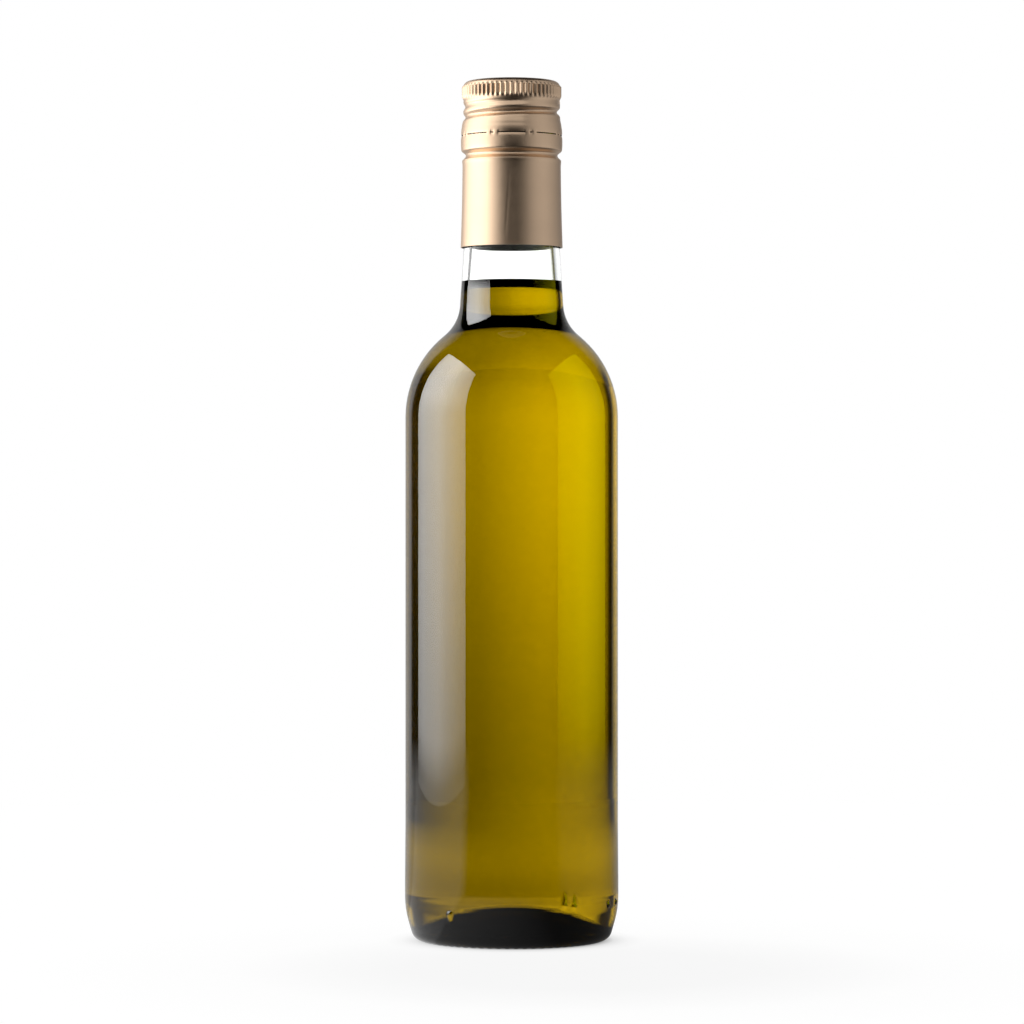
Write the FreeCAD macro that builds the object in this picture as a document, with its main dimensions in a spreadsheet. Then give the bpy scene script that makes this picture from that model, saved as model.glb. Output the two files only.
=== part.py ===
import FreeCAD, Part
import math
import os
import re

import Sketcher

# A filled and closed half-litre olive oil bottle: a round, high-shouldered glass bottle with a
# domed base, the oil in it, and a long aluminium cap that is rolled onto its mouth.
# Z is the bottle's axis, the origin is the middle of the base, and sizes are in millimetres.
# Heights that end in _height are above the base. Those that end in _drop are below the lip,
# which is how a bottle's finish is dimensioned.

SIZES = {
    # glass body
    "body_radius": 32.7,          # label panel
    "heel_swell": 0.35,           # how far the heel stands proud of the label panel
    "heel_top_height": 16.0,      # where the swollen heel starts to blend into the panel
    "panel_foot_height": 24.0,    # where that blend ends
    "heel_flank_height": 9.8,     # where the heel's slanted flank meets its upright side
    "heel_inset": 3.0,            # how far the flank's foot lies inside the heel
    "heel_corner_round": 3.6,     # rounding at the foot of the flank
    "heel_side_round": 28.0,      # rounding at the top of the flank
    "side_height": 176.05,        # where the panel's side would meet the shoulder's slope
    "shoulder_slope": 39.6,       # degrees above level, at the steepest part of the S
    "shoulder_round": 32.2,       # convex part of the shoulder
    "slope_flat": 0.5,            # straight run between the two rounds of the shoulder
    "neck_base_radius": 16.28,    # where the slope would meet the tapered neck
    "neck_length": 74.32,         # from there up to the lip
    # glass wall and base
    "body_wall": 2.7,
    "shoulder_wall": 2.7,
    "bore_base_radius": 14.2,     # inside of the neck, at its foot
    "bore_radius": 12.2,          # bore through the finish
    "heel_floor_height": 4.6,     # inside floor, next to the heel
    "heel_inner_round": 7.0,
    "bearing_width": 2.4,         # ring that the bottle stands on, round the dome's mouth
    "punt_height": 9.2,
    "punt_edge_round": 0.7,
    "base_wall": 2.8,             # glass over the middle of the dome
    # finish: the part of the neck that carries the cap
    "finish_radius": 14.3,
    "lip_round": 2.0,
    "finish_round": 0.5,
    "thread_depth": 0.8,
    "thread_drop": 10.05,
    "band_drop": 8.35,            # top side of the thread's groove
    "ring_stand": 0.85,           # locking ring, proud of the finish
    "ring_brow_stand": 0.3,       # sloping upper edge of the locking ring
    "ring_brow_drop": 12.15,
    "ring_top_drop": 14.45,
    "ring_foot_drop": 21.35,
    "tuck_depth": 0.65,           # groove under the locking ring
    "tuck_drop": 22.65,
    "neck_stand": 0.4,            # straight neck below the groove
    "neck_top_drop": 24.05,
    "neck_taper_drop": 50.75,     # where the straight neck turns into the tapered one
    # oil
    "fill_drop": 61.25,           # level of the oil
    "oil_clearance": 0.1,         # between the oil and the glass
    # cap
    "cap_clearance": 0.2,         # between the cap and the finish it is rolled onto
    "cap_sheet": 0.25,
    "cap_drop": 50.85,            # foot of the skirt
    "skirt_flare": 0.55,
    "knurl_count": 60,
    "knurl_share": 0.5,           # share of the turn that the ridges take
    "knurl_stand": 0.55,
    "knurl_foot_drop": 5.55,
    "knurl_top_drop": 1.05,
    "knurl_bevel": 1.0,           # length of the ridge's sloping ends
    "slit_count": 8,              # tear line: long slits, with a short one in each gap
    "slit_angle": 31.0,
    "short_slit_angle": 3.5,
    "slit_width": 0.35,
    "slit_drop": 16.55,
}

# Sizes that follow from others, each written as a formula in size names.
FORMULAS = {
    "heel_radius": "body_radius + heel_swell",
    "heel_lean": "atan(heel_inset / heel_flank_height) / 1deg",
    "bearing_radius": "heel_radius - heel_inset - heel_corner_round * tan((90 - heel_lean) / 2)",
    "punt_radius": "bearing_radius - bearing_width",
    "inner_radius": "body_radius - body_wall",
    "shoulder_turn": "90 - shoulder_slope",
    "slope_run": "(body_radius - neck_base_radius) / cos(shoulder_slope)",
    "outer_round": "min(shoulder_round; 0.75 * slope_run / tan(shoulder_turn / 2))",
    "neck_base_height": "side_height + (body_radius - neck_base_radius) * tan(shoulder_slope)",
    "lip_height": "neck_base_height + neck_length",
    "neck_taper_height": "lip_height - neck_taper_drop",
    "neck_lean": "atan((neck_base_radius - neck_radius) / (neck_taper_height - neck_base_height))"
                 " / 1deg",
    "neck_round_reach": "min(slope_run - slope_flat - outer_round * tan(shoulder_turn / 2);"
                        " 0.9 * (neck_taper_height - neck_base_height))",
    "neck_round": "neck_round_reach / tan((shoulder_turn - neck_lean) / 2)",
    "slope_sink": "shoulder_wall / cos(shoulder_slope)",
    "inner_side_height": "side_height + body_wall * tan(shoulder_slope) - slope_sink",
    "bore_base_height": "side_height + (body_radius - bore_base_radius) * tan(shoulder_slope)"
                        " - slope_sink",
    "inner_run": "(inner_radius - bore_base_radius) / cos(shoulder_slope)",
    "inner_round": "min(outer_round - body_wall; 0.75 * inner_run / tan(shoulder_turn / 2))",
    "bore_lean": "atan((bore_base_radius - bore_radius) / (neck_taper_height - bore_base_height))"
                 " / 1deg",
    "bore_round_reach": "min(inner_run - slope_flat - inner_round * tan(shoulder_turn / 2);"
                        " 0.9 * (neck_taper_height - bore_base_height))",
    "bore_round": "bore_round_reach / tan((shoulder_turn - bore_lean) / 2)",
    "dome_radius": "inner_radius - heel_inner_round",
    "neck_radius": "finish_radius + neck_stand",
    "cap_radius": "finish_radius + cap_clearance + cap_sheet",
    "cap_foot_height": "lip_height - cap_drop",
    "knurl_pitch": "360 / knurl_count",
    "slit_pitch": "360 / slit_count",
}


def expression(formula):
    """Turn a formula in size names into a FreeCAD expression on the sheet."""
    def reference(match):
        word = match.group()
        if word in FORMULAS:
            return "(" + expression(FORMULAS[word]) + ")"
        return "sizes." + word if word in SIZES else word
    return re.sub(r"[a-z_]+", reference, formula)


def value(formula):
    """The number that a formula gives now."""
    return float(sheet.evalExpression(expression(formula)))


def size_sheet(document):
    """Put the driving sizes in a spreadsheet, one aliased cell each."""
    cells = document.addObject("Spreadsheet::Sheet", "sizes")
    for row, (name, number) in enumerate(SIZES.items(), start=1):
        cells.set(f"A{row}", name)
        cells.set(f"B{row}", str(number))
        cells.setAlias(f"B{row}", name)
    document.recompute()
    return cells


def origin_plane(body, role):
    return next(item for item in body.Origin.OriginFeatures if item.Role == role)


def upright_sketch(body, name, azimuth="0"):
    """A sketch with radius along its X and height along its Y, turned about the axis."""
    sketch = body.newObject("Sketcher::SketchObject", name)
    sketch.AttachmentSupport = [(origin_plane(body, "XZ_Plane"), "")]
    sketch.MapMode = "FlatFace"
    turn = FreeCAD.Rotation(FreeCAD.Vector(0, 1, 0), value(azimuth))
    sketch.AttachmentOffset = FreeCAD.Placement(FreeCAD.Vector(), turn)
    sketch.setExpression("AttachmentOffset.Rotation.Angle", expression(azimuth))
    return sketch


def place_point(sketch, geometry, end, radius, height):
    """Tie one point of a sketch to a radius and a height; an empty formula means zero."""
    for kind, formula, axis in (("DistanceX", radius, -2), ("DistanceY", height, -1)):
        if formula:
            constraint = Sketcher.Constraint(kind, -1, 1, geometry, end, value(formula))
            number = sketch.addConstraint(constraint)
            sketch.setExpression(f"Constraints[{number}]", expression(formula))
        else:
            sketch.addConstraint(Sketcher.Constraint("PointOnObject", geometry, end, axis))


def round_geometry(before, corner, after, radius):
    """Where an arc of this radius leaves each side of a corner, its centre and its turn."""
    back = (before - corner).normalize()
    ahead = (after - corner).normalize()
    half_angle = back.getAngle(ahead) / 2
    start = corner + back * (radius / math.tan(half_angle))
    end = corner + ahead * (radius / math.tan(half_angle))
    middle = (back + ahead).normalize()
    centre = corner + middle * (radius / math.sin(half_angle))
    turns_left = (corner - before).cross(after - corner).z > 0
    return start, end, centre, turns_left


def outline(body, name, corners, azimuth="0"):
    """Sketch a closed outline through corners, each a radius, a height and a rounding or None."""
    sketch = upright_sketch(body, name, azimuth)
    points = []
    for radius, height, rounding in corners:
        points.append(FreeCAD.Vector(value(radius or "0"), value(height or "0"), 0))
    arrive = list(points)
    leave = list(points)
    arcs = {}
    for index, (radius, height, rounding) in enumerate(corners):
        if rounding:
            after = points[(index + 1) % len(points)]
            geometry = round_geometry(points[index - 1], points[index], after, value(rounding))
            arrive[index], leave[index] = geometry[0], geometry[1]
            arcs[index] = geometry
    sides = []
    for index in range(len(points)):
        line = Part.LineSegment(leave[index], arrive[(index + 1) % len(points)])
        sides.append(sketch.addGeometry(line, False))
    for index, (radius, height, rounding) in enumerate(corners):
        side_in, side_out = sides[index - 1], sides[index]
        if not rounding:
            sketch.addConstraint(Sketcher.Constraint("Coincident", side_in, 2, side_out, 1))
            place_point(sketch, side_out, 1, radius, height)
            continue
        start, end, centre, turns_left = arcs[index]
        first, last = (start, end) if turns_left else (end, start)
        circle = Part.Circle(centre, FreeCAD.Vector(0, 0, 1), value(rounding))
        bend = Part.ArcOfCircle(circle, circle.parameter(first), circle.parameter(last))
        arc = sketch.addGeometry(bend, False)
        arc_in, arc_out = (1, 2) if turns_left else (2, 1)
        sketch.addConstraint(Sketcher.Constraint("Tangent", side_in, 2, arc, arc_in))
        sketch.addConstraint(Sketcher.Constraint("Tangent", arc, arc_out, side_out, 1))
        number = sketch.addConstraint(Sketcher.Constraint("Radius", arc, value(rounding)))
        sketch.setExpression(f"Constraints[{number}]", expression(rounding))
        corner = sketch.addGeometry(Part.Point(points[index]), True)
        for side in (side_in, side_out):
            sketch.addConstraint(Sketcher.Constraint("PointOnObject", corner, 1, side))
        place_point(sketch, corner, 1, radius, height)
    return sketch


def dome(body, name, radius, foot_height, top_height):
    """Sketch the section of a round dome that stands on a flat disc."""
    sketch = upright_sketch(body, name)
    wide = value(radius)
    low = value(foot_height or "0")
    high = value(top_height)
    sphere = (wide ** 2 + (high - low) ** 2) / (2 * (high - low))
    circle = Part.Circle(FreeCAD.Vector(0, high - sphere, 0), FreeCAD.Vector(0, 0, 1), sphere)
    edge = FreeCAD.Vector(wide, low, 0)
    top = FreeCAD.Vector(0, high, 0)
    foot = FreeCAD.Vector(0, low, 0)
    bend = Part.ArcOfCircle(circle, circle.parameter(edge), circle.parameter(top))
    arc = sketch.addGeometry(bend, False)
    axis = sketch.addGeometry(Part.LineSegment(top, foot), False)
    floor = sketch.addGeometry(Part.LineSegment(foot, edge), False)
    sketch.addConstraint(Sketcher.Constraint("Coincident", arc, 2, axis, 1))
    sketch.addConstraint(Sketcher.Constraint("Coincident", axis, 2, floor, 1))
    sketch.addConstraint(Sketcher.Constraint("Coincident", floor, 2, arc, 1))
    sketch.addConstraint(Sketcher.Constraint("PointOnObject", arc, 3, -2))
    place_point(sketch, arc, 2, "", top_height)
    place_point(sketch, axis, 2, "", foot_height)
    place_point(sketch, arc, 1, radius, foot_height)
    return sketch


def turned(body, kind, name, sketch, angle="360"):
    """Turn a sketch about the axis: kind is Revolution, which adds, or Groove, which cuts."""
    feature = body.newObject("PartDesign::" + kind, name)
    feature.Profile = sketch
    feature.ReferenceAxis = (sketch, ["V_Axis"])
    feature.Midplane = angle != "360"
    feature.Angle = value(angle)
    feature.setExpression("Angle", expression(angle))
    return feature


def repeated(body, name, feature, count):
    """Repeat a feature evenly round the axis."""
    pattern = body.newObject("PartDesign::PolarPattern", name)
    pattern.Originals = [feature]
    pattern.Axis = (feature.Profile[0], ["V_Axis"])
    pattern.Angle = 360
    pattern.setExpression("Occurrences", expression(count))
    body.Tip = pattern
    return pattern


def new_body(document, label):
    body = document.addObject("PartDesign::Body", label)
    body.Label = label
    body.Placement = FreeCAD.Placement()
    return body


def lip_level(drop):
    return "lip_height - " + drop


def finish_corners(offset):
    """The mouth's outside from the lip's foot down to the straight neck, offset outwards."""
    rows = (
        ("finish_radius", "band_drop"),
        ("finish_radius - thread_depth", "thread_drop"),
        ("finish_radius + ring_brow_stand", "ring_brow_drop"),
        ("finish_radius + ring_stand", "ring_top_drop"),
        ("finish_radius + ring_stand", "ring_foot_drop"),
        ("finish_radius - tuck_depth", "tuck_drop"),
        ("neck_radius", "neck_top_drop"),
    )
    return [(radius + offset, lip_level(drop), "finish_round") for radius, drop in rows]


def bottle_corners():
    """The bottle's outside, from the middle of the lip down to the middle of the base."""
    return [
        ("", "lip_height", None),
        ("finish_radius", "lip_height", "lip_round"),
        *finish_corners(""),
        ("neck_radius", "neck_taper_height", None),
        ("neck_base_radius", "neck_base_height", "neck_round"),
        ("body_radius", "side_height", "outer_round"),
        ("body_radius", "panel_foot_height", None),
        ("heel_radius", "heel_top_height", None),
        ("heel_radius", "heel_flank_height", "heel_side_round"),
        ("heel_radius - heel_inset", "", "heel_corner_round"),
        ("", "", None),
    ]


def cavity_corners(clearance, top_height):
    """The bottle's inside, from the middle of the mouth down, drawn in by a clearance."""
    inset = " - " + clearance
    floor_height = "heel_floor_height + " + clearance
    return [
        ("", top_height, None),
        ("bore_radius" + inset, top_height, None),
        ("bore_radius" + inset, "neck_taper_height", None),
        ("bore_base_radius" + inset, "bore_base_height", "bore_round"),
        ("inner_radius" + inset, "inner_side_height", "inner_round"),
        ("inner_radius" + inset, floor_height, "heel_inner_round"),
        ("", floor_height, None),
    ]


def make_bottle(document):
    """The glass: turned outside, hollowed, and pushed up in the middle of its base."""
    body = new_body(document, "bottle")
    turned(body, "Revolution", "glass_blank", outline(body, "glass_outline", bottle_corners()))
    cavity = cavity_corners("0", "lip_height + lip_round")
    turned(body, "Groove", "cavity", outline(body, "cavity_outline", cavity))
    floor = dome(body, "floor_dome", "dome_radius", "heel_floor_height", "punt_height + base_wall")
    turned(body, "Revolution", "push_up", floor)
    punt = dome(body, "punt_dome", "punt_radius", "", "punt_height")
    turned(body, "Groove", "punt", punt)
    document.recompute()
    pushed_up = body.Tip
    edge_round = body.newObject("PartDesign::Fillet", "punt_edge")
    edge_round.Base = (pushed_up, [round_edge(pushed_up, value("punt_radius"), 0)])
    edge_round.setExpression("Radius", expression("punt_edge_round"))
    body.Tip = edge_round
    return body


def round_edge(feature, radius, height):
    """Name of the circular edge that has this radius and height."""
    for number, edge in enumerate(feature.Shape.Edges, start=1):
        if not edge.Degenerated and isinstance(edge.Curve, Part.Circle):
            away = edge.Curve.Center - FreeCAD.Vector(0, 0, height)
            if abs(edge.Curve.Radius - radius) < 1e-4 and away.Length < 1e-4:
                return f"Edge{number}"
    raise ValueError("the edge to round is missing")


def make_oil(document):
    """The oil: the cavity's shape up to the level, with the base's dome pushed into it."""
    body = new_body(document, "oil")
    cavity = cavity_corners("oil_clearance", "lip_height")
    turned(body, "Revolution", "full_bottle", outline(body, "fill_outline", cavity))
    dent = dome(body, "dent_outline", "dome_radius", "heel_floor_height + oil_clearance",
                "punt_height + base_wall + oil_clearance")
    turned(body, "Groove", "floor_dent", dent)
    empty_corners = [
        ("", "lip_height + lip_round", None),
        ("body_radius", "lip_height + lip_round", None),
        ("body_radius", lip_level("fill_drop"), None),
        ("", lip_level("fill_drop"), None),
    ]
    turned(body, "Groove", "empty_top", outline(body, "empty_outline", empty_corners))
    return body


def cap_side(offset):
    """One side of the cap's sheet, from its top corner down to its foot."""
    return [
        *finish_corners(offset),
        ("neck_radius + skirt_flare" + offset, "cap_foot_height", None),
    ]


def make_cap(document):
    """The cap: one rolled sheet with knurled ridges at its top and a slit tear line."""
    body = new_body(document, "cap")
    outside = " + cap_clearance + cap_sheet"
    inside = " + cap_clearance"
    section = [
        ("", "lip_height + cap_sheet", None),
        ("cap_radius", "lip_height + cap_sheet", "lip_round"),
        *cap_side(outside),
        *reversed(cap_side(inside)),
        ("finish_radius" + inside, "lip_height", "lip_round"),
        ("", "lip_height", None),
    ]
    turned(body, "Revolution", "shell", outline(body, "shell_section", section))
    ridge_foot = "cap_radius - cap_sheet / 2"
    ridge_top = "cap_radius + knurl_stand"
    ridge = [
        (ridge_foot, lip_level("knurl_top_drop"), None),
        (ridge_top, lip_level("knurl_top_drop - knurl_bevel"), None),
        (ridge_top, lip_level("knurl_foot_drop + knurl_bevel"), None),
        (ridge_foot, lip_level("knurl_foot_drop"), None),
    ]
    ridge_sketch = outline(body, "ridge_outline", ridge)
    first = turned(body, "Revolution", "ridge", ridge_sketch, "knurl_pitch * knurl_share")
    repeated(body, "knurl", first, "knurl_count")
    cut_slits(body, "slit", "slit_angle", "0")
    cut_slits(body, "short_slit", "short_slit_angle", "slit_pitch / 2")
    return body


def cut_slits(body, name, angle, azimuth):
    """One ring of slits through the cap's locking band."""
    inner = "finish_radius + ring_stand"
    outer = "cap_radius + ring_stand + cap_sheet"
    top = lip_level("slit_drop + slit_width / 2")
    foot = lip_level("slit_drop - slit_width / 2")
    section = [(inner, top, None), (outer, top, None), (outer, foot, None), (inner, foot, None)]
    sketch = outline(body, name + "_outline", section, azimuth)
    first = turned(body, "Groove", name, sketch, angle)
    repeated(body, name + "s", first, "slit_count")


def check(document, bodies):
    """Stop if an object failed or a body is not one sound solid."""
    for item in document.Objects:
        if "Invalid" in item.State or "Error" in item.State:
            raise RuntimeError(f"{item.Name} failed: {item.State}")
    for body in bodies:
        shape = body.Shape
        if shape.isNull() or not shape.isValid() or len(shape.Solids) != 1:
            raise RuntimeError(f"{body.Label} is not one sound solid")


doc = FreeCAD.newDocument("olive_oil_bottle")
sheet = size_sheet(doc)
parts = [make_bottle(doc), make_oil(doc), make_cap(doc)]
doc.recompute()
check(doc, parts)
os.makedirs("parts", exist_ok=True)
for part in parts:
    part.Shape.exportStep(f"parts/{part.Label}.step")
    box = part.Shape.BoundBox
    print(f"{part.Label}: {part.Shape.Volume / 1000:.2f} cm3, radius {box.XMax:.2f},"
          f" height {box.ZMin:.2f} to {box.ZMax:.2f}")
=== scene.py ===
import math

import bmesh
import bpy
import numpy as np
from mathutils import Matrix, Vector


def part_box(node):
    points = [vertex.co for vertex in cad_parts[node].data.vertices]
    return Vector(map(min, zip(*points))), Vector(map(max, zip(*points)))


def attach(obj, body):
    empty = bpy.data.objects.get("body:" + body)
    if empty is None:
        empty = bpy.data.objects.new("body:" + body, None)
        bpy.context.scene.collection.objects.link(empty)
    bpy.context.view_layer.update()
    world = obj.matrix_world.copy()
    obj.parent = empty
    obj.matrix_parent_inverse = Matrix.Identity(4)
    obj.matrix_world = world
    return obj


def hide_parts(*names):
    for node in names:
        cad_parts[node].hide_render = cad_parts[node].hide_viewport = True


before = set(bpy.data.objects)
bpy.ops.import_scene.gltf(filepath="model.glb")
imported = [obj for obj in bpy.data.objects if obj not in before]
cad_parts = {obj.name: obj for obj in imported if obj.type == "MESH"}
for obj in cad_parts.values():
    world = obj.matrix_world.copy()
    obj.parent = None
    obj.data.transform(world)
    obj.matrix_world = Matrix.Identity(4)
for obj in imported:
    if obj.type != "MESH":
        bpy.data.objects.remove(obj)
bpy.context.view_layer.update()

# The looks of a filled and closed olive oil bottle. Sizes are in millimetres unless a name says
# otherwise, and become metres where a mesh is made. Heights come from the boxes of the CAD
# nodes: the lip is the bottle's top, the level is the oil's top, and drops are below the lip.

MM = 0.001

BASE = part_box("bottle")[0].z / MM
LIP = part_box("bottle")[1].z / MM
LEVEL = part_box("oil")[1].z / MM
HEEL_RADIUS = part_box("bottle")[1].x / MM
CAP_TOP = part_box("cap")[1].z / MM
CAP_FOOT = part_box("cap")[0].z / MM
CAP_FOOT_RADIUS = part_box("cap")[1].x / MM

# glass
PANEL_RADIUS = HEEL_RADIUS - 0.35
WALL = 2.7
SIDE_HEIGHT = 176.05
SLOPE = math.radians(39.6)
SHOULDER_ROUND = 32.2
NECK_BASE_RADIUS = 16.28
BORE_BASE_RADIUS = 14.2
BORE_RADIUS = 12.2
NECK_RADIUS = 14.7
NECK_TAPER_DROP = 50.75
HEEL_SLIM = 0.2
HEEL_SIDE = HEEL_RADIUS - HEEL_SLIM
PUNT_RADIUS = 24.98
PUNT_HEIGHT = 9.2
FLOOR_HEIGHT = 12.0
HEEL_FLOOR_HEIGHT = 4.6
HEEL_INNER_ROUND = 7.0
FLOOR_RADIUS = PANEL_RADIUS - WALL - HEEL_INNER_ROUND
SEGMENTS = 480
LONGEST_ROW = 6.0
STIPPLES = 66
STIPPLE_DEPTH = 0.25
WAVINESS = 0.05
WAVE_FOOT = FLOOR_HEIGHT + 4

# Which faces are of which glass. A face of the inner floor looks up, and lies low and inside.
OUTER_GLASS, WETTED_GLASS, PUNT_PAINTED_SHADE_GLASS, SHADED_SIDE_NECK_GLASS = range(4)
FLOOR_FACING = 0.2
FLOOR_ZONE_TOP = 14
FLOOR_ZONE_RADIUS = 30.2
# the right half of the neck above this height mirrors less: painted shade on that side
CLEAR_NECK_FOOT = 187

# how much the glass mirrors and how much it lets through, by height: painted shade dims its
# reflections above the oil and darkens its foot almost to black
GLASS_GLOSS_PAINTED_SHADE = [(0, 1.0), (200, 1.0), (202.5, 0.15), (LIP, 0.15)]
GLASS_CLEAR_PAINTED_SHADE = [(0, 0.02), (3.5, 0.02), (7.5, 1.0), (LIP, 1.0)]
# the punt and the inner floor over it are near black and mirror nothing: painted shade
PUNT_PAINTED_SHADE_CLEAR = 0.02
# how much the right side of the neck mirrors: painted shade
NECK_PAINTED_SHADE_GLOSS = 0.12

# moulded pips on the heel: (degrees to the right of the front, height), and the heights between
# which rows of faces are as close as PIP_ROW
PIPS = [(-35, 10.4), (29, 13.2), (35, 12.6), (64, 12.2), (76, 12.4)]
PIP_ROWS = (9, 15)
PIP_ROW = 0.4
PIP_RADIUS = 1.0
PIP_HEIGHT = 0.5

# oil
OIL_GROW = 0.12
OIL_SEGMENTS = 240
MENISCUS = 1.8
# how many points of the inside, from the bore down, run through the neck
NECK_POINTS = 60
# the surface's faces reach this far below the flat of the surface, and end this far from the wall
SURFACE_DEPTH = 0.3
SURFACE_EDGE = 0.06
# the side's points stop this far below the level, where the meniscus takes over
SIDE_STOP = 0.2
# painted light and shade in the oil: how light its colour is, by height
OIL_PAINTED_LIGHT = [(0, 0.64), (24, 0.62), (36, 0.5), (50, 0.42), (74, 0.5), (104, 0.68), (135, 0.86),
            (160, 0.95), (168, 0.88), (176, 0.63), (183, 0.46), (188, 0.45), (195, 0.68),
            (205, 0.72)]

# cap
CAP_COLUMNS = 480
SHEET = 0.25
FLUTES = 60
FLUTE_FOOT = CAP_TOP - 5.3
FLUTE_TOP = CAP_TOP - 1.9
FLUTE_DEPTH = 0.5
TEAR_HEIGHT = CAP_TOP - 16.8
SLIT_HEIGHT = 0.35
SLIT_SPAN = 31.0
SHORT_SLIT_SPAN = 3.5
BRIDGE_ZONES = 8
TEAR_REACH = 0.55
SLIT_DENT = 0.2
BRIDGE_SWELL = 0.06
THREAD_PITCH = 3.2
THREAD_START = CAP_TOP - 11.1
# depth of the rolled thread, by degrees along it
THREAD_REACH = [(60, 0), (110, 0.35), (180, 0.7), (250, 1.0), (450, 1.0), (540, 0.6), (720, 0.3),
                (765, 0)]
# A faint crease down the skirt: its turn in degrees at its middle, its slant in degrees for each
# millimetre of height, its half width in degrees, and the heights where it fades in and out.
CREASE_TURN = 265.5
CREASE_MIDDLE = 226
CREASE_SLANT = 0.25
CREASE_WIDTH = 1.1
CREASE_DEPTH = 0.035
CREASE_FOOT = (216, 219)
CREASE_HEAD = (233, 238)
# wider than this is the cap's side, and narrower its top
CAP_SIDE_RADIUS = 14
# inside the skirt, below this height, the sheet is dark grey: painted shade
PAINTED_DARK_INSIDE_BELOW = CAP_TOP - 1
# rows of the cap's side: (lowest height, highest height, count), closest where the side turns
CAP_ROWS = [(CAP_FOOT, 238, 12), (238.5, 243.4, 22), (244, 246.2, 4), (246.7, 247.0, 2),
            (TEAR_HEIGHT - SLIT_HEIGHT / 2, TEAR_HEIGHT + SLIT_HEIGHT / 2, 2), (247.8, 248.1, 2),
            (248.6, 250.6, 6), (250.9, 258.6, 27), (258.9, 262.2, 9)]

# Light of the studio. An azimuth is in degrees to the right of straight behind the bottle, a rise
# is in degrees above level, and a distance over the floor is in metres. The ramps hold shares of
# PEAK, so that a level may be over 1.
PEAK = 4.0

# what glass passes on of the wall, low down and higher up, by azimuth, and both by rise
THROUGH = [(-180, 0.6), (-130, 0.6), (-125, 2.5), (-80, 2.5), (-66, 1.7), (-61, 0.03), (-54, 0.03),
           (-50, 0.55), (-44, 0.85), (-28, 1.25), (-18, 1.27), (-10, 1.25), (0, 1.0),
           (11, 0.69), (20, 0.65), (30, 0.36), (42, 0.12), (50, 0.02), (65, 0.02),
           (69, 0.4), (130, 0.6), (180, 0.6)]
UPPER = [(-180, 0.6), (-130, 0.6), (-125, 1.5), (-62, 1.5), (-57, 0.05), (-44, 0.05),
         (-36, 1.2), (-28, 1.7), (-22, 1.75), (-12, 1.45), (0, 1.3), (14, 1.3), (22, 1.0),
         (30, 0.8), (40, 0.4), (45, 0.05), (57, 0.05), (62, 1.3), (130, 0.8), (180, 0.6)]
UPPER_RISE = (2.6, 4.2)
THROUGH_RISE = [(-12, 1.25), (-6, 1.4), (0, 1.48), (3.0, 1.48), (26, 1.5), (34, 0.0)]
THROUGH_GAIN = 0.8
# the sines of the rises that THROUGH_RISE is spread over
RISE_RANGE = (-0.22, 0.6)

# what surfaces mirror of the wall, by azimuth, and the sines of the rises where it fades out
# upwards and where the floor takes over downwards
MIRRORED = [(-180, 0.0), (-43, 0.0), (-38, 0.6), (20, 0.4), (38, 0.15), (43, 0.0), (180, 0.0)]
MIRRORED_FADE = (0.7, 0.5)
FLOOR_RISE = (-0.056, -0.068)

# what glass passes on of the floor, by azimuth near the bottle and by distance, darkened close to
# the bottle by a painted shadow; far off it is the same as the wall
FLOOR_ACROSS = [(-180, 1.0), (-66, 0.95), (-58, 1.0), (-43, 1.35), (-28, 1.5), (-18, 1.38),
                (-10, 1.2), (0, 1.03), (11, 0.95), (40, 0.9), (180, 1.0)]
FLOOR_THROUGH = [(0.03, 0.0), (0.085, 0.02), (0.12, 0.15), (0.17, 0.6), (0.24, 0.86),
                 (0.3, 0.95), (0.45, 1.05), (0.6, 1.13)]
FLOOR_FAR = [(0.28, 0.0), (0.45, 1.0)]

# what surfaces mirror of the floor, by azimuth, and what they mirror of it close by
FLOOR_MIRRORED = [(-180, 0.0), (-134, 0.0), (-125, 0.75), (-55, 0.75), (-50, 0.45), (-38, 0.6),
                  (20, 0.4), (38, 0.3), (55, 0.1), (125, 0.08), (134, 0.0), (180, 0.0)]
FLOOR_CLOSE = [(-180, 0.25), (-130, 0.5), (-70, 0.6), (0, 0.3), (90, 0.08), (150, 0.08),
               (180, 0.25)]
CLOSE_REACH = [(0.1, 1.0), (0.16, 0.7), (0.2, 0.0)]

# how bright the floor itself is, by distance from under the bottle and from the shade's middle:
# a painted contact shadow under the bottle and a painted soft shadow in front of it
FLOOR_REACH = 0.6
FLOOR_SIDES = 64
FLOOR_SINK = 1e-5
FLOOR_MIDDLE = (0.001, 0, 0)
PAINTED_SHADOW_MIDDLE = (0.02, -0.08, 0)
FLOOR_PAINTED_SHADOW_UNDER = [(0, 0.0), (0.026, 0.0), (0.029, 0.75), (0.034, 0.95), (0.04, 1.0)]
FLOOR_PAINTED_SOFT_SHADOW = [(0, 0.925), (0.05, 0.93), (0.08, 0.96), (0.1, 0.985), (0.16, 1.0)]

# Softboxes: width and height in metres, and levels across and up them as (share, level).
SOFTBOX = (1.05, 1.0)
SOFTBOX_ACROSS = [(0, 0.45), (0.14, 0.68), (0.5, 1.0), (0.83, 0.62), (1.0, 0.45)]
SOFTBOX_RISE = [(0.0, 0.09), (0.008, 0.12), (0.03, 0.5), (0.09, 0.62), (0.18, 0.74),
                (0.4, 0.97), (1.0, 1.0)]
GLOW_RISE = [(0.0, 0.06), (0.01, 0.1), (0.045, 0.65), (0.09, 0.85), (0.18, 0.92), (0.4, 1.0),
             (1.0, 1.0)]
GLOW_COLOUR = (1, 0.92, 0.0)
CAP_SOFTBOX = (1.56, 1.2)
CAP_LEFT_ACROSS = [(0, 0.35), (0.28, 0.75), (0.38, 0.97), (0.57, 0.95), (0.63, 0.78),
                   (0.7, 0.52), (0.78, 0.3), (0.88, 0.14), (1.0, 0.03)]
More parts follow.
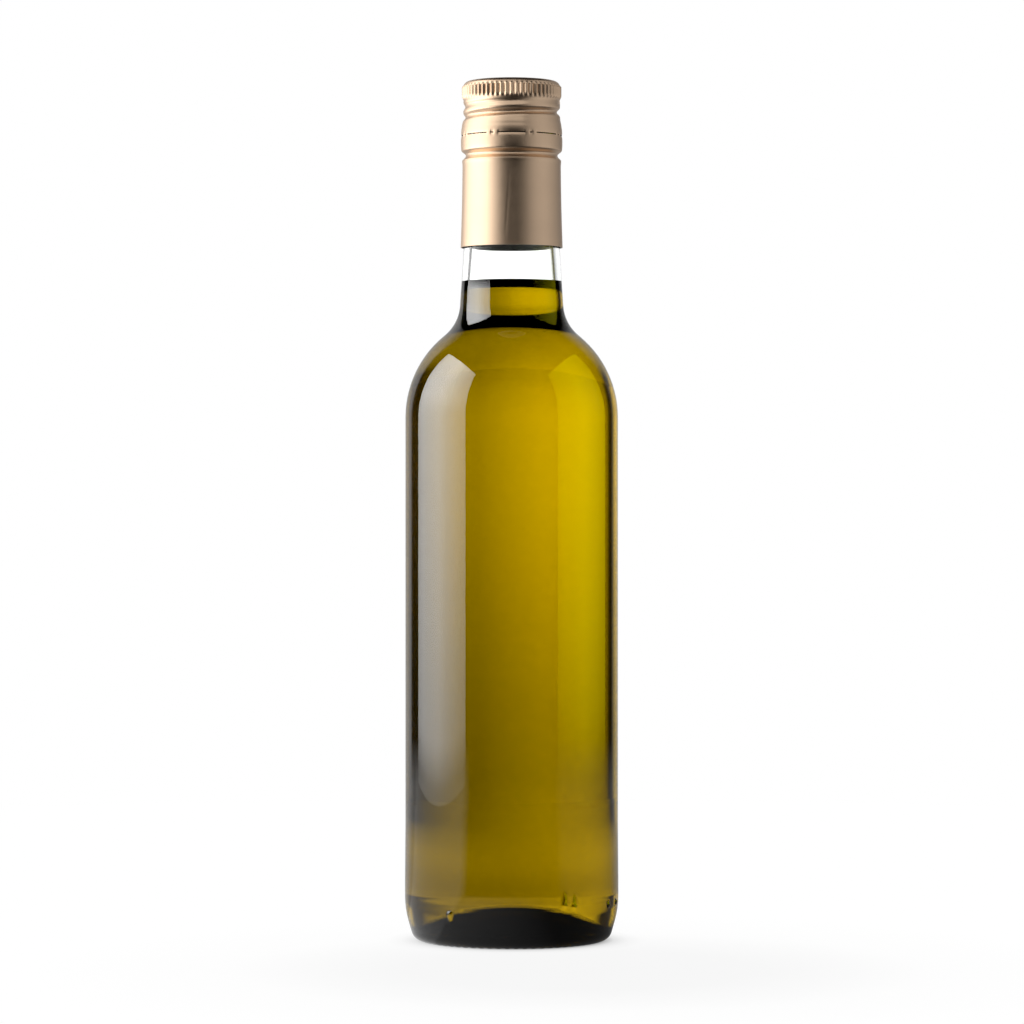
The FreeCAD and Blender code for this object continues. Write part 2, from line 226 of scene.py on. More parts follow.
CAP_RIGHT_ACROSS = [(0, 0.08), (0.17, 0.3), (0.3, 0.72), (0.4, 0.93), (0.5, 1.0), (0.58, 0.9),
                    (0.72, 0.66), (0.94, 0.5), (1.0, 0.4)]
CAP_TOP_BOX = (1.3, 0.9)
EVEN = [(0.0, 1.0), (1.0, 1.0)]

CAMERA_PLACE = (0.0001, -1.244, 0.1317)
CAMERA_LENS = 142
CAMERA_SENSOR = 36


def height_on_slope(radius, sink=0.0):
    """Height of the shoulder's slope at a radius, sunk straight down by a distance."""
    return SIDE_HEIGHT + (PANEL_RADIUS - radius) * math.tan(SLOPE) - sink


def smooth_step(low, high, value):
    """0 up to low, 1 from high on, and a smooth rise between them."""
    share = np.clip((value - low) / (high - low), 0, 1)
    return share * share * (3 - 2 * share)


def rounded(corners, spacing=0.5):
    """Points along an outline through corners (radius, height, rounding), arcs included."""
    points = [np.array(c[:2], float) for c in corners]
    path = []
    for index, (point, corner) in enumerate(zip(points, corners)):
        rounding = corner[2]
        if not rounding:
            path.append(point)
            continue
        back = points[index - 1] - point
        ahead = points[index + 1] - point
        back /= np.linalg.norm(back)
        ahead /= np.linalg.norm(ahead)
        half = math.acos(np.clip(back @ ahead, -1, 1)) / 2
        start = point + back * rounding / math.tan(half)
        end = point + ahead * rounding / math.tan(half)
        middle = (back + ahead) / np.linalg.norm(back + ahead)
        centre = point + middle * rounding / math.sin(half)
        turn = math.pi - 2 * half
        count = max(4, int(turn / math.radians(4)), int(rounding * turn / (4 * spacing)))
        angle = math.atan2(*(start - centre)[::-1])
        sweep = math.atan2(*(end - centre)[::-1]) - angle
        sweep = (sweep + math.pi) % (2 * math.pi) - math.pi
        for step in range(count + 1):
            a = angle + sweep * step / count
            path.append(centre + rounding * np.array([math.cos(a), math.sin(a)]))
    return path


def dome(radius, foot, top, count=28):
    """Points of a round dome, from its foot up to its top on the axis."""
    sphere = (radius ** 2 + (top - foot) ** 2) / (2 * (top - foot))
    edge = math.asin(radius / sphere)
    angles = [edge * (1 - step / count) for step in range(count)]
    return [np.array([sphere * math.sin(a), top - sphere * (1 - math.cos(a))]) for a in angles]


def resample(path, longest):
    """Divide the stretches of a path that are longer than longest(height) at their middle."""
    dense = [path[0]]
    for before, after in zip(path, path[1:]):
        limit = longest((before[1] + after[1]) / 2)
        parts = max(1, math.ceil(np.linalg.norm(after - before) / limit))
        for part in range(1, parts + 1):
            dense.append(before + (after - before) * part / parts)
    return np.array(dense)


def lathe(path, segments, shape=None):
    """Turn a path about Z: (vertices, faces), closed at an end that lies on the axis."""
    angles = np.arange(segments) * 2 * math.pi / segments
    radius = np.repeat(path[:, :1], segments, axis=1)
    height = np.repeat(path[:, 1:], segments, axis=1)
    angle = np.repeat(angles[None, :], len(path), axis=0)
    if shape:
        radius, height = shape(radius, height, angle)
    grid = np.stack([radius * np.cos(angle), radius * np.sin(angle), height], axis=2)
    vertices = grid.reshape(-1, 3)
    faces = []
    for row in range(len(path) - 1):
        for column in range(segments):
            after = (column + 1) % segments
            low = row * segments
            high = low + segments
            faces.append((low + column, low + after, high + after, high + column))
    return vertices, faces


def make_mesh(name, vertices, faces):
    """A linked object from vertices in millimetres, welded and shaded smooth."""
    mesh = bpy.data.meshes.new(name)
    mesh.from_pydata((np.asarray(vertices) * MM).tolist(), [], faces)
    piece = bpy.data.objects.new(name, mesh)
    bpy.context.scene.collection.objects.link(piece)
    work = bmesh.new()
    work.from_mesh(mesh)
    bmesh.ops.remove_doubles(work, verts=work.verts, dist=1e-7)
    bmesh.ops.recalc_face_normals(work, faces=work.faces)
    work.to_mesh(mesh)
    work.free()
    mesh.shade_smooth()
    return piece


def outer_glass():
    """The bottle's outside from the punt's mouth up to the lip: heel, panel, neck and finish."""
    taper = LIP - NECK_TAPER_DROP
    corners = [
        # bearing ring, heel and its run into the panel
        (PUNT_RADIUS, BASE, 0.7),
        (HEEL_RADIUS - 3.0, BASE, 3.6),
        (HEEL_SIDE, 9.8, 28.0),
        (HEEL_SIDE, 18.5, 300.0),
        (PANEL_RADIUS, 36.0, 400.0),
        # shoulder and neck
        (PANEL_RADIUS, SIDE_HEIGHT, SHOULDER_ROUND),
        (NECK_BASE_RADIUS, height_on_slope(NECK_BASE_RADIUS), 13.1),
        (NECK_RADIUS, taper, 8.0),
        (NECK_RADIUS, LIP - 24.05, 0.5),
        # groove, locking ring, groove in place of the thread, and lip
        (13.65, LIP - 22.65, 0.5),
        (15.15, LIP - 21.35, 0.5),
        (15.15, LIP - 14.45, 0.5),
        (14.6, LIP - 12.15, 0.5),
        (13.5, LIP - 10.05, 0.5),
        (14.3, LIP - 8.35, 0.5),
        (14.3, LIP, 1.2),
        (BORE_RADIUS, LIP, 0.6),
    ]
    first = [(PUNT_RADIUS - 1.0, BASE + 0.9, 0)]
    last = [(BORE_RADIUS, LIP - 4, 0)]
    return rounded(first + corners + last)[1:-1]


def inner_glass(grow=0.0):
    """The bottle's inside, from the bore down to the foot of the floor's dome."""
    sink = WALL / math.cos(SLOPE)
    inner = PANEL_RADIUS - WALL + grow
    base = BORE_BASE_RADIUS + grow
    corners = [
        (BORE_RADIUS + grow, LIP - NECK_TAPER_DROP, 40.0),
        (base, height_on_slope(BORE_BASE_RADIUS, sink), 14.5),
        (inner, height_on_slope(PANEL_RADIUS - WALL, sink), SHOULDER_ROUND - WALL),
        (inner, HEEL_FLOOR_HEIGHT - grow, HEEL_INNER_ROUND),
    ]
    first = [(BORE_RADIUS + grow, LIP - 4, 0)]
    last = [(0, HEEL_FLOOR_HEIGHT - grow, 0)]
    return rounded(first + corners + last)[1:-1]


def inner_wave(height, angle):
    """How far the inside of the wall wanders from round, as blown glass does."""
    sway = np.sin(2 * angle + height / 31) + np.sin(3 * angle - height / 19 + 1.3)
    return WAVINESS * (sway + np.sin(5 * angle + height / 43 + 4.1)) / 3


def wandered(radius, height, angle):
    """The inside of the wall, wandering where the side is straight."""
    side = (height > WAVE_FOOT) & (height < SIDE_HEIGHT)
    return np.where(side, radius + inner_wave(height, angle), radius), height


def moulded(radius, height, angle):
    """The glass with what the mould leaves: stippled foot, pips, and an uneven inside."""
    inside = radius < PANEL_RADIUS - 1
    radius = np.where(inside, wandered(radius, height, angle)[0], radius)
    foot = (height < BASE + 0.4) & (radius > PUNT_RADIUS)
    gap = 0.5 - 0.5 * np.cos(STIPPLES * angle)
    height = np.where(foot, height + STIPPLE_DEPTH * gap ** 2, height)
    for turn, pip_height in PIPS:
        towards = math.radians(turn - 90)
        across = radius * np.arctan2(np.sin(angle - towards), np.cos(angle - towards))
        apart = np.hypot(across, height - pip_height) / PIP_RADIUS
        bump = PIP_HEIGHT * np.clip(1 - apart ** 2, 0, 1)
        radius = np.where((radius > PANEL_RADIUS - 1.5) & (apart < 1), radius + bump, radius)
    return radius, height


def glass_slot(face):
    """The material slot of a face of the bottle."""
    centre = face.center / MM
    radius = math.hypot(centre.x, centre.y)
    inward = face.normal.x * centre.x + face.normal.y * centre.y < 0 and centre.z > FLOOR_HEIGHT
    low = centre.z < FLOOR_ZONE_TOP
    floor = face.normal.z > FLOOR_FACING and low and radius < FLOOR_ZONE_RADIUS
    if centre.z < LEVEL and (inward or floor):
        # the inner floor over the punt takes the near-black glass: painted shade
        over_punt = radius < FLOOR_RADIUS and centre.z <= FLOOR_ZONE_TOP
        return PUNT_PAINTED_SHADE_GLASS if over_punt else WETTED_GLASS
    # the punt takes the near-black glass: painted shade
    if radius < PUNT_RADIUS + 1 and centre.z < PUNT_HEIGHT + 0.5:
        return PUNT_PAINTED_SHADE_GLASS
    # the right side of the neck gets dimmed reflections: painted shade
    if centre.x > 0 and centre.z > CLEAR_NECK_FOOT:
        return SHADED_SIDE_NECK_GLASS
    return OUTER_GLASS


def make_bottle():
    """The glass: one closed surface, outside and inside, in four kinds of glass, two of them
    painted shade: the near-black punt and the dimmed right side of the neck.
    """
    punt = dome(PUNT_RADIUS - 0.5, BASE + 0.45, PUNT_HEIGHT)[::-1]
    floor = dome(FLOOR_RADIUS, HEEL_FLOOR_HEIGHT, FLOOR_HEIGHT)[1:]
    low, high = PIP_ROWS
    outside = resample([np.array([0, PUNT_HEIGHT])] + punt + outer_glass(),
                       lambda height: PIP_ROW if low < height < high else LONGEST_ROW)
    inside = resample(inner_glass() + floor + [np.array([0, FLOOR_HEIGHT])],
                      lambda height: LONGEST_ROW)
    vertices, faces = lathe(np.concatenate([outside, inside]), SEGMENTS, moulded)
    piece = make_mesh("glass_bottle", vertices, faces)
    for material in (glass_material("bottle_glass", GLASS_GLOSS_PAINTED_SHADE, GLASS_CLEAR_PAINTED_SHADE),
                     glass_material("wetted_glass", all_over(0.0), all_over(1.0)),
                     glass_material("punt_glass_painted_shade", all_over(0.0), all_over(PUNT_PAINTED_SHADE_CLEAR)),
                     glass_material("neck_glass_painted_shade", all_over(NECK_PAINTED_SHADE_GLOSS), all_over(1.0))):
        piece.data.materials.append(material)
    for face in piece.data.polygons:
        face.material_index = glass_slot(face)
    return piece


def meniscus(edge, count=22):
    """The oil's surface from the axis to the wall, where surface tension draws it up."""
    length = MENISCUS / math.sqrt(2)
    points = [np.array([0.0, LEVEL - MENISCUS]), np.array([edge * 0.3, LEVEL - MENISCUS])]
    rises = [MENISCUS * (0.02 + 0.98 * (step / count) ** 1.5) for step in range(count + 1)]
    at_wall = math.acosh(2 * length / MENISCUS) - math.sqrt(4 - (MENISCUS / length) ** 2)
    for rise in rises:
        along = math.acosh(2 * length / rise) - math.sqrt(4 - (rise / length) ** 2) - at_wall
        points.append(np.array([edge - along * length, LEVEL - MENISCUS + rise]))
    return points


def make_oil():
    """The oil, which reaches just into the glass all round, under its meniscus."""
    side = inner_glass(OIL_GROW)
    neck = side[:NECK_POINTS]
    edge = float(np.interp(-LEVEL, [-p[1] for p in neck], [p[0] for p in neck]))
    floor = dome(FLOOR_RADIUS, HEEL_FLOOR_HEIGHT - OIL_GROW, FLOOR_HEIGHT - OIL_GROW)[1:]
    path = meniscus(edge) + [p for p in side if p[1] < LEVEL - SIDE_STOP] + floor
    path.append(np.array([0, FLOOR_HEIGHT - OIL_GROW]))
    path = resample(path, lambda height: LONGEST_ROW)
    vertices, faces = lathe(path, OIL_SEGMENTS, wandered)
    piece = make_mesh("oil_fill", vertices, faces)
    piece.data.materials.append(oil_material("olive_oil", 0.0))
    piece.data.materials.append(oil_material("oil_surface", 1.0))
    for face in piece.data.polygons:
        centre = face.center / MM
        high = centre.z > LEVEL - MENISCUS - SURFACE_DEPTH
        if high and math.hypot(centre.x, centre.y) < edge - SURFACE_EDGE:
            face.material_index = 1
    return piece


def cap_outline():
    """Radius of the cap's side by height above the table, without flutes, thread and slits."""
    return [
        (CAP_FOOT, CAP_FOOT_RADIUS), (215.4, 15.62), (220.0, 15.47), (226.2, 15.30),
        (232.0, 15.2), (238.0, 15.13), (238.8, 15.17), (239.4, 15.25), (239.9, 15.2),
        (240.3, 14.75), (240.8, 14.3), (241.3, 14.1), (241.8, 14.25), (242.2, 14.75),
        (242.6, 15.3), (242.9, 15.47), (243.6, 15.58), (245.0, 15.63), (246.3, 15.62),
        (248.4, 15.56), (249.6, 15.47), (249.9, 15.38), (250.8, 15.28), (251.7, 15.1),
        (252.3, 14.97), (253.0, 14.92), (257.6, 14.87), (258.4, 14.8), (262.2, 14.82),
    ]


def thread_depth(height, degrees):
    """Depth of the rolled thread at a height and a turn, over its two passes."""
    depth = np.zeros_like(height)
    for lap in (0, 360):
        turn = degrees + lap
        centre = THREAD_START + THREAD_PITCH * (turn - 180) / 360
        reach = np.interp(turn, *zip(*THREAD_REACH))
        away = np.clip(np.abs(height - centre) / (THREAD_PITCH / 2), 0, 1)
        depth = np.maximum(depth, reach * (0.5 + 0.5 * np.cos(math.pi * away)) ** 1.2)
    return depth


def slit_nearness(degrees):
    """1 inside a slit of the tear line and 0 well inside a bridge, over the turn."""
    step = 360 / BRIDGE_ZONES
    from_long = np.abs((degrees + step / 2) % step - step / 2)
    from_short = step / 2 - from_long
    inside_long = 1 - smooth_step(SLIT_SPAN / 2 - 1, SLIT_SPAN / 2 + 1.5, from_long)
    inside_short = 1 - smooth_step(SHORT_SLIT_SPAN / 2 - 0.5, SHORT_SLIT_SPAN / 2 + 1, from_short)
    return np.maximum(inside_long, inside_short)


def pressed(radius, height, angle):
    """The cap's side with its flutes, its rolled thread, its tear line and its crease."""
    degrees = np.degrees(angle)
    standing = smooth_step(FLUTE_FOOT - 0.6, FLUTE_FOOT + 0.7, height)
    standing = standing * (1 - smooth_step(FLUTE_TOP - 0.3, FLUTE_TOP + 0.8, height))
    crest = (0.5 + 0.5 * np.cos(FLUTES * angle)) ** 0.8
    side = radius > CAP_SIDE_RADIUS
    radius = radius + np.where(side, standing * FLUTE_DEPTH * crest, 0)
    thread = np.where(side & (height < FLUTE_FOOT), thread_depth(height, degrees), 0)
    radius = radius - thread
    from_tear = np.abs(height - TEAR_HEIGHT)
    near = np.exp(-(from_tear / TEAR_REACH) ** 2)
    radius = radius - near * (SLIT_DENT * slit_nearness(degrees) - BRIDGE_SWELL)
    from_crease = degrees - CREASE_TURN - (height - CREASE_MIDDLE) * CREASE_SLANT
    crease = np.exp(-(from_crease / CREASE_WIDTH) ** 2)
    crease = crease * smooth_step(*CREASE_FOOT, height) * (1 - smooth_step(*CREASE_HEAD, height))
    return radius - CREASE_DEPTH * crease, height


def cut_slits(piece):
    """Open the long slits of the tear line and the short ones in the middle of the bridges."""
    step = 360 / BRIDGE_ZONES
    work = bmesh.new()
    work.from_mesh(piece.data)
    gone = []
    for face in work.faces:
        centre = face.calc_center_median() / MM
        if abs(centre.z - TEAR_HEIGHT) > SLIT_HEIGHT / 2:
            continue
        degrees = math.degrees(math.atan2(centre.y, centre.x)) % step
        from_long = min(degrees, step - degrees)
        if from_long < SLIT_SPAN / 2 or step / 2 - from_long < SHORT_SLIT_SPAN / 2:
            gone.append(face)
    bmesh.ops.delete(work, geom=gone, context="FACES")
    work.to_mesh(piece.data)
    work.free()


def make_cap():
    """The cap: a thin sheet round its outline, pressed into shape and slit."""
    heights = np.concatenate([np.linspace(*rows) for rows in CAP_ROWS])
    table = np.array(cap_outline())
    radii = np.interp(heights, table[:, 0], table[:, 1])
    side = [np.array([r, h]) for r, h in zip(radii, heights)]
    corner = rounded([(14.95, 262.3, 0), (15.0, CAP_TOP, 1.9), (0, CAP_TOP, 0)])[1:]
    vertices, faces = lathe(np.array(side + corner), CAP_COLUMNS, pressed)
    piece = make_mesh("cap_shell", vertices, faces)
    cut_slits(piece)
    shell = piece.modifiers.new("sheet", "SOLIDIFY")
    shell.thickness = SHEET * MM
    shell.offset = -1
    with bpy.context.temp_override(object=piece):
        bpy.ops.object.modifier_apply(modifier=shell.name)
    piece.data.set_sharp_from_angle(angle=math.radians(40))
    piece.data.materials.append(cap_material())
    # the inside material: dark grey, painted shade
    piece.data.materials.append(cap_inside_material())
    for face in piece.data.polygons:
        inward = face.normal.x * face.center.x + face.normal.y * face.center.y < -1e-4
        if inward and face.center.z < PAINTED_DARK_INSIDE_BELOW * MM:
            face.material_index = 1
    return piece


def principled(name):
    """A new material: (material, node tree, shader)."""
    material = bpy.data.materials.new(name)
    material.use_nodes = True
    return material, material.node_tree, material.node_tree.nodes["Principled BSDF"]


def add_node(tree, kind, **values):
    """A node with its plain inputs set: spaces in an input's name are written as underscores."""
    node = tree.nodes.new(kind)
    for name, value in values.items():
        node.inputs[name.replace("_", " ")].default_value = value
    return node


def noise_between(tree, scale, low, high, detail=2.0, stretch=(1, 1, 1)):
    """A noise over the piece, spread between two values."""
    place = tree.nodes.new("ShaderNodeTexCoord")
    grid = add_node(tree, "ShaderNodeMapping", Scale=stretch)
    grain = add_node(tree, "ShaderNodeTexNoise", Scale=scale, Detail=detail)
    spread = add_node(tree, "ShaderNodeMapRange", From_Min=0.3, From_Max=0.7, To_Min=low,
                      To_Max=high)
    tree.links.new(place.outputs["Object"], grid.inputs["Vector"])
    tree.links.new(grid.outputs["Vector"], grain.inputs["Vector"])
    tree.links.new(grain.outputs["Fac"], spread.inputs["Value"])
    return spread.outputs["Result"]


def tinted(tree, share, first, second):
    """A colour between two, by a share from 0 to 1."""
    mix = tree.nodes.new("ShaderNodeMix")
    mix.data_type = "RGBA"
    mix.inputs["A"].default_value = (*first, 1)
    mix.inputs["B"].default_value = (*second, 1)
    tree.links.new(share, mix.inputs["Factor"])
    return mix.outputs["Result"]


def blended(tree, share, first, second):
    """A level between two, by a share from 0 to 1."""
    mix = tree.nodes.new("ShaderNodeMix")
    for name, value in (("Factor", share), ("A", first), ("B", second)):
        tree.links.new(value, mix.inputs[name])
    return mix.outputs["Result"]


def axes(tree, vector):
    """The parts of a vector, by the names X, Y and Z."""
    split = tree.nodes.new("ShaderNodeSeparateXYZ")
    tree.links.new(vector, split.inputs[0])
    return split.outputs


def by_height(tree, stops):
    """A level by height above the floor: stops are (height in mm, level)."""
    place = tree.nodes.new("ShaderNodeTexCoord")
    height = axes(tree, place.outputs["Object"])["Z"]
    return ramp(tree, between(tree, height, 0, LIP * MM),
                [(stop / LIP, level) for stop, level in stops])


def all_over(level):
    """Stops of by_height for the same level at every height."""
    return [(0, level), (LIP, level)]


def glass_material(name, gloss, clear):
    """Glass; gloss and clear are how much it mirrors and lets through, by height. The dimmed
    reflections of the neck, the dark foot and the near-black punt are painted shade.
    """
    material, tree, shader = principled(name)
    # how much it mirrors by height: the dimmed neck and the punt that mirrors nothing are painted
    # shade
    tree.links.new(by_height(tree, gloss), shader.inputs["Specular Tint"])
    shader.inputs["IOR"].default_value = 1.52
    shader.inputs["Transmission Weight"].default_value = 1.0
    shader.inputs["Roughness"].default_value = 0.0
    green = tinted(tree, noise_between(tree, 30, 0, 1), (0.965, 0.985, 0.975),
                   (0.975, 0.985, 0.97))
    colour = tree.nodes.new("ShaderNodeVectorMath")
    colour.operation = "MULTIPLY"
    tree.links.new(green, colour.inputs[0])
    # the colour, darkened by clear: painted shade at the foot and in the punt
    tree.links.new(by_height(tree, clear), colour.inputs[1])
    tree.links.new(colour.outputs["Vector"], shader.inputs["Base Color"])
    return material


def oil_material(name, gloss):
    """Clear oil with painted light and shade, lighter or darker by height; gloss is how much it
    mirrors.
    """
    material, tree, shader = principled(name)
    shader.inputs["Specular Tint"].default_value = (gloss, gloss, gloss, 1)
    shader.inputs["Roughness"].default_value = 0.0
    shader.inputs["IOR"].default_value = 1.47
    shader.inputs["Transmission Weight"].default_value = 1.0
    # lighter or darker by height: painted light and shade
    depth = by_height(tree, OIL_PAINTED_LIGHT)
    cloud = noise_between(tree, 14, -0.015, 0.015)
    colour = tinted(tree, maths(tree, "ADD", depth, cloud), (0.0, 0.0, 0.0), (0.62, 0.40, 0.0))
    tree.links.new(colour, shader.inputs["Base Color"])
    volume = add_node(tree, "ShaderNodeVolumeAbsorption", Color=(0.875, 0.85, 0.0, 1), Density=40)
    tree.links.new(volume.outputs["Volume"], tree.nodes["Material Output"].inputs["Volume"])
    return material


def cap_material():
    """Satin gold aluminium with a fine upright grain."""
    material, tree, shader = principled("anodised_cap")
    shader.inputs["Metallic"].default_value = 1.0
    colour = tinted(tree, noise_between(tree, 120, 0, 1, 4), (0.72, 0.522, 0.36),
                    (0.76, 0.552, 0.38))
    tree.links.new(colour, shader.inputs["Base Color"])
    rough = noise_between(tree, 900, 0.31, 0.34, 3)
    tree.links.new(rough, shader.inputs["Roughness"])
    bump = add_node(tree, "ShaderNodeBump", Strength=0.05, Distance=0.00005)
    grain = noise_between(tree, 2600, 0, 1, 3, (1, 1, 0.25))
    tree.links.new(grain, bump.inputs["Height"])
    tree.links.new(bump.outputs["Normal"], shader.inputs["Normal"])
    return material


def cap_inside_material():
    """The inside of the sheet, dull and dark grey: painted shade within the skirt."""
    material, tree, shader = principled("cap_inside_painted_shade")
    colour = tinted(tree, noise_between(tree, 300, 0, 1, 3), (0.10, 0.105, 0.10),
                    (0.14, 0.145, 0.135))
    tree.links.new(colour, shader.inputs["Base Color"])
    shader.inputs["Metallic"].default_value = 0.4
    tree.links.new(noise_between(tree, 700, 0.4, 0.5), shader.inputs["Roughness"])
    return material


def ramp(tree, value, stops):
    """Grey levels over a value from 0 to 1: stops are two or more of (place, level)."""
    node = tree.nodes.new("ShaderNodeValToRGB")
    elements = node.color_ramp.elements
    while len(elements) < len(stops):
        elements.new(0.5)
    for element, (place, level) in zip(elements, stops):
        element.position = place
        element.color = (level, level, level, 1)
    tree.links.new(value, node.inputs["Fac"])
    return node.outputs["Color"]


def maths(tree, operation, first, second=0.0):
    """The result of an operation on two values, each a number or a socket."""
    node = tree.nodes.new("ShaderNodeMath")
    node.operation = operation
    for slot, value in enumerate((first, second)):
        if isinstance(value, (int, float)):
            node.inputs[slot].default_value = value
        else:
            tree.links.new(value, node.inputs[slot])
    return node.outputs[0]


def between(tree, value, low, high):
    """A value as a share of the way from low to high, held to 0 and 1."""
    node = add_node(tree, "ShaderNodeMapRange", From_Min=low, From_Max=high)
    tree.links.new(value, node.inputs["Value"])
    return node.outputs["Result"]


def make_floor():
    """A white floor, dark under the bottle.

    It is dark under the bottle by a painted shadow. The camera, the glass and what mirrors each
    get
    a level of their own: the camera sees it white with a painted soft shadow, glass passes on less
    of it towards the foot as a painted shadow, and surfaces mirror it by azimuth and, close by, by
    distance.
    """
    mesh = bpy.data.meshes.new("floor")
    ring = [(FLOOR_REACH * math.cos(a), FLOOR_REACH * math.sin(a), BASE * MM - FLOOR_SINK)
            for a in np.linspace(0, 2 * math.pi, FLOOR_SIDES, endpoint=False)]
    mesh.from_pydata(ring, [], [tuple(range(FLOOR_SIDES))])
    floor = bpy.data.objects.new("studio_floor", mesh)
    bpy.context.scene.collection.objects.link(floor)
    material, tree, shader = principled("floor_white")
    shader.inputs["Base Color"].default_value = (0.05, 0.05, 0.05, 1)
    shader.inputs["Roughness"].default_value = 0.9
    shader.inputs["Specular IOR Level"].default_value = 0.0
    shader.inputs["Emission Color"].default_value = (1, 1, 1, 1)
    place = tree.nodes.new("ShaderNodeTexCoord")
    across = axes(tree, place.outputs["Object"])

    def by_distance(middle, stops):
        away = tree.nodes.new("ShaderNodeVectorMath")
        away.operation = "DISTANCE"
        away.inputs[1].default_value = middle
        tree.links.new(place.outputs["Object"], away.inputs[0])
        share = between(tree, away.outputs["Value"], 0, FLOOR_REACH)
        return ramp(tree, share, [(reach / FLOOR_REACH, level) for reach, level in stops])

    # painted contact shadow under the bottle and painted soft shadow in front of it, for the
    # camera
    shown = maths(tree, "MULTIPLY", by_distance(FLOOR_MIDDLE, FLOOR_PAINTED_SHADOW_UNDER),
                  by_distance(PAINTED_SHADOW_MIDDLE, FLOOR_PAINTED_SOFT_SHADOW))
    azimuth = maths(tree, "ARCTAN2", across["X"], across["Y"])
    turned = blended(tree, by_distance((0, 0, 0), FLOOR_FAR), around(tree, azimuth, FLOOR_ACROSS),
                     around(tree, azimuth, THROUGH))
    # darker close to the bottle: a painted shadow in what the glass passes on
    through = maths(tree, "MULTIPLY", by_distance((0, 0, 0), FLOOR_THROUGH),
                    maths(tree, "MULTIPLY", turned, PEAK))
    close = maths(tree, "MULTIPLY", around(tree, azimuth, FLOOR_CLOSE),
                  by_distance((0, 0, 0), CLOSE_REACH))
    mirrored = maths(tree, "MAXIMUM", around(tree, azimuth, FLOOR_MIRRORED), close)
    mirrored = maths(tree, "MULTIPLY", mirrored, PEAK)
    path = tree.nodes.new("ShaderNodeLightPath")
    passed = path.outputs["Is Transmission Ray"]
    bounced = maths(tree, "SUBTRACT", path.outputs["Is Glossy Ray"], passed)
    strength = maths(tree, "MULTIPLY", path.outputs["Is Camera Ray"], shown)
    strength = maths(tree, "ADD", strength, maths(tree, "MULTIPLY", passed, through))
    seen = maths(tree, "MULTIPLY", maths(tree, "MAXIMUM", bounced, 0.0), mirrored)
    strength = maths(tree, "ADD", strength, seen)
    tree.links.new(strength, shader.inputs["Emission Strength"])
    floor.data.materials.append(material)


def area_light(name, place, target, size, power, lit, colour=(1, 1, 1), rise=EVEN, across=EVEN):
    """A softbox for the lit pieces; rise and across are its levels, as (share, level)."""
    data = bpy.data.lights.new(name, "AREA")
    data.shape = "RECTANGLE"
    data.size, data.size_y = size
    data.energy = power
    data.color = colour
    data.use_nodes = True
    tree = data.node_tree
    face = tree.nodes.new("ShaderNodeNewGeometry")
    along = axes(tree, face.outputs["Parametric"])
    level = maths(tree, "MULTIPLY", ramp(tree, along["Y"], rise), ramp(tree, along["X"], across))
    tree.links.new(level, tree.nodes["Emission"].inputs["Strength"])
    light = bpy.data.objects.new(name, data)
    light.location = place
    light.rotation_euler = (Vector(target) - Vector(place)).to_track_quat("-Z", "Y").to_euler()
    light.visible_camera = False
    light.visible_transmission = False
    bpy.context.scene.collection.objects.link(light)
    receivers = bpy.data.collections.new(name + "_receivers")
    for piece in lit:
        receivers.objects.link(piece)
    light.light_linking.receiver_collection = receivers


def around(tree, azimuth, stops):
    """A level, as a share of the peak, by azimuth in radians."""
    share = between(tree, azimuth, -math.pi, math.pi)
    return ramp(tree, share, [((angle + 180) / 360, level / PEAK) for angle, level in stops])


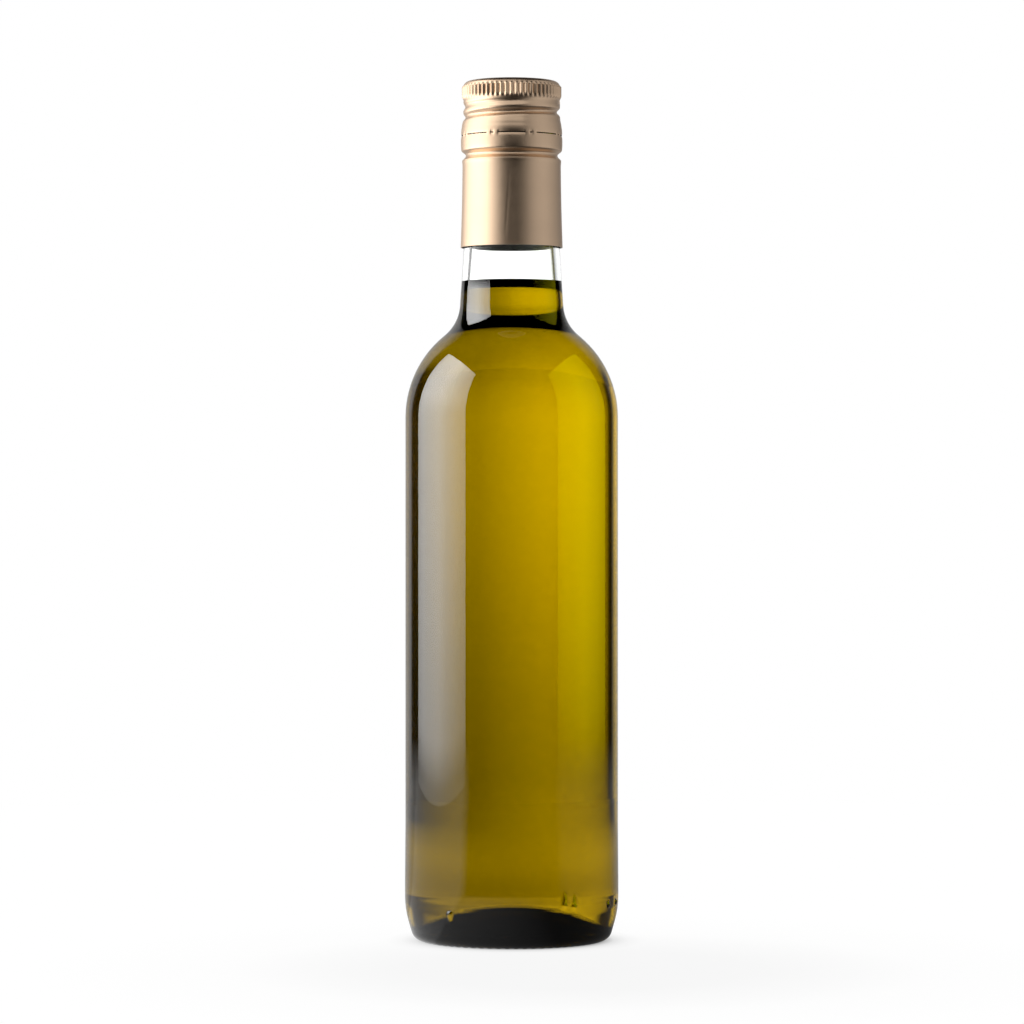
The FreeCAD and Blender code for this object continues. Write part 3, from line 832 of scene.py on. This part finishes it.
def make_world():
    """A white studio: white to the camera, with levels by direction for glass and mirroring."""
    world = bpy.data.worlds.new("studio")
    bpy.context.scene.world = world
    world.use_nodes = True
    tree = world.node_tree
    tree.nodes.clear()
    direction = tree.nodes.new("ShaderNodeTexCoord")
    towards = axes(tree, direction.outputs["Generated"])
    azimuth = maths(tree, "ARCTAN2", towards["X"], towards["Y"])
    rise = towards["Z"]
    lowest, highest = RISE_RANGE
    by_rise = ramp(tree, between(tree, rise, lowest, highest),
                   [((math.sin(math.radians(angle)) - lowest) / (highest - lowest), level / PEAK)
                    for angle, level in THROUGH_RISE])
    lift = between(tree, rise, *(math.sin(math.radians(angle)) for angle in UPPER_RISE))
    walls = blended(tree, lift, maths(tree, "MULTIPLY", around(tree, azimuth, THROUGH), by_rise),
                    maths(tree, "MULTIPLY", around(tree, azimuth, UPPER), by_rise))
    through = maths(tree, "MULTIPLY", walls, PEAK * PEAK * THROUGH_GAIN)
    wall = maths(tree, "MULTIPLY", around(tree, azimuth, MIRRORED),
                 between(tree, rise, *MIRRORED_FADE))
    mirrored = blended(tree, between(tree, rise, *FLOOR_RISE), wall,
                       around(tree, azimuth, FLOOR_MIRRORED))
    mirrored = maths(tree, "MULTIPLY", mirrored, PEAK)
    path = tree.nodes.new("ShaderNodeLightPath")
    passed = path.outputs["Is Transmission Ray"]
    strength = maths(tree, "MULTIPLY", passed, through)
    rest = maths(tree, "MULTIPLY", mirrored, maths(tree, "SUBTRACT", 1.0, passed))
    strength = maths(tree, "ADD", strength, rest)
    strength = maths(tree, "MAXIMUM", strength, path.outputs["Is Camera Ray"])
    studio = add_node(tree, "ShaderNodeBackground", Color=(1, 1, 1, 1))
    tree.links.new(strength, studio.inputs["Strength"])
    out = tree.nodes.new("ShaderNodeOutputWorld")
    tree.links.new(studio.outputs[0], out.inputs["Surface"])


def make_camera():
    """A long lens, level with the bottle's middle."""
    data = bpy.data.cameras.new("camera")
    data.sensor_width = CAMERA_SENSOR
    data.lens = CAMERA_LENS
    camera = bpy.data.objects.new("camera", data)
    camera.location = CAMERA_PLACE
    camera.rotation_euler = (math.radians(90), 0, 0)
    bpy.context.scene.collection.objects.link(camera)
    bpy.context.scene.camera = camera


def add_piece(piece, node):
    """Put a piece in place of a CAD node."""
    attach(piece, "root")
    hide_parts(node)


def around_bottle(azimuth, distance, height):
    """A place in metres: azimuth in degrees to the right of the front."""
    turn = math.radians(azimuth)
    return (distance * math.sin(turn), -distance * math.cos(turn), height)


make_camera()
bottle = make_bottle()
add_piece(bottle, "bottle")
oil = make_oil()
add_piece(oil, "oil")
cap = make_cap()
add_piece(cap, "cap")
make_floor()
make_world()
area_light("left_panel", around_bottle(-85, 0.75, 0.49), target=(0, 0, 0.49), size=SOFTBOX,
           power=30, lit=[bottle, oil], rise=SOFTBOX_RISE, across=SOFTBOX_ACROSS)
area_light("right_panel", around_bottle(85, 0.75, 0.49), target=(0, 0, 0.49), size=SOFTBOX,
           power=9, lit=[bottle], colour=GLOW_COLOUR, rise=GLOW_RISE, across=SOFTBOX_ACROSS)
area_light("cap_left", around_bottle(-80, 0.45, 0.3), target=(0, 0, 0.3), size=CAP_SOFTBOX,
           power=14, lit=[cap], across=CAP_LEFT_ACROSS)
area_light("cap_right", around_bottle(80, 0.45, 0.3), target=(0, 0, 0.3), size=CAP_SOFTBOX,
           power=3.4, lit=[cap], across=CAP_RIGHT_ACROSS)
area_light("cap_top", (-0.1, -0.7, 0.95), target=(0, 0, 0.25), size=CAP_TOP_BOX, power=2.6,
           lit=[cap])
bpy.context.scene.view_settings.view_transform = "Standard"
